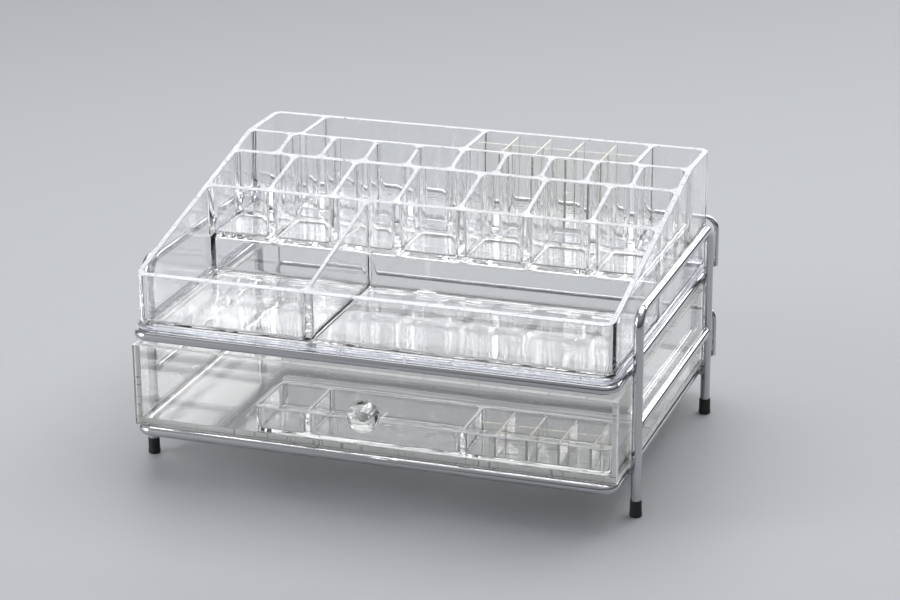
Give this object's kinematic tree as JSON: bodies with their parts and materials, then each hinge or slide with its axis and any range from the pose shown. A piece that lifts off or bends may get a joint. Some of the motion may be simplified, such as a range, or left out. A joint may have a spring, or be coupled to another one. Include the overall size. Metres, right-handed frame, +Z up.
{
  "type": "desk organizer",
  "caption": "Clear compartment tray on a chromed wire rack, above a clear pull-out drawer with a ball knob and a small insert tray.",
  "frame": {"origin": "on the table, at the middle of the footprint of the whole object with the drawer shut", "axes": "+Z up, +X to the right of a person facing the drawer, -Y towards that person"},
  "size_m": [0.3074, 0.2444, 0.1639],
  "materials": {
    "chromed_wire": "bright chrome plate on drawn steel wire",
    "rubber_feet": "matt black rubber",
    "moulded_acrylic": "clear moulded acrylic, polished",
    "sheet_acrylic": "clear acrylic sheet with sawn edges",
    "knob_acrylic": "clear acrylic ball, polished",
    "cream_divider": "clear acrylic with a faint cream tint",
    "screw_steel": "zinc-plated steel"
  },
  "bodies": {
    "rack": {"left_side_frame": "chromed_wire", "right_side_frame": "chromed_wire", "left_side_rail": "chromed_wire", "right_side_rail": "chromed_wire", "lower_shelf_loop": "chromed_wire", "upper_shelf_loop": "chromed_wire", "lower_back_guard": "chromed_wire", "upper_back_guard": "chromed_wire", "foot_front_left": "rubber_feet", "foot_front_right": "rubber_feet", "foot_rear_left": "rubber_feet", "foot_rear_right": "rubber_feet"},
    "tray": {"tray": "moulded_acrylic"},
    "tray_grid": {"tray_grid_long_plate": "cream_divider", "tray_grid_cross_plate_1": "cream_divider", "tray_grid_cross_plate_2": "cream_divider", "tray_grid_cross_plate_3": "cream_divider", "tray_grid_cross_plate_4": "cream_divider"},
    "drawer": {"drawer_front_panel": "sheet_acrylic", "drawer_bottom_panel": "sheet_acrylic", "drawer_left_panel": "sheet_acrylic", "drawer_right_panel": "sheet_acrylic", "drawer_back_panel": "sheet_acrylic", "knob": "knob_acrylic", "knob_screw": "screw_steel"},
    "insert": {"insert_tray": "moulded_acrylic", "insert_grid_long_plate": "cream_divider", "insert_grid_cross_plate_1": "cream_divider", "insert_grid_cross_plate_2": "cream_divider", "insert_grid_cross_plate_3": "cream_divider", "insert_grid_cross_plate_4": "cream_divider"}
  },
  "joints": [
    {"name": "drawer_slide", "type": "slide", "parent": "rack", "child": "drawer", "axis": [0, -1, 0], "range_m": [0, 0.18]},
    {"name": "insert_slide", "type": "slide", "parent": "drawer", "child": "insert", "axis": [-1, 0, 0], "range_m": [0, 0.07]},
    {"name": "tray_lift", "type": "slide", "parent": "rack", "child": "tray", "axis": [0, -0.1961, 0.9806], "range_m": [0, 0.08]},
    {"name": "tray_grid_lift", "type": "slide", "parent": "tray", "child": "tray_grid", "axis": [0, 0, 1], "range_m": [0, 0.05]}
  ]
}
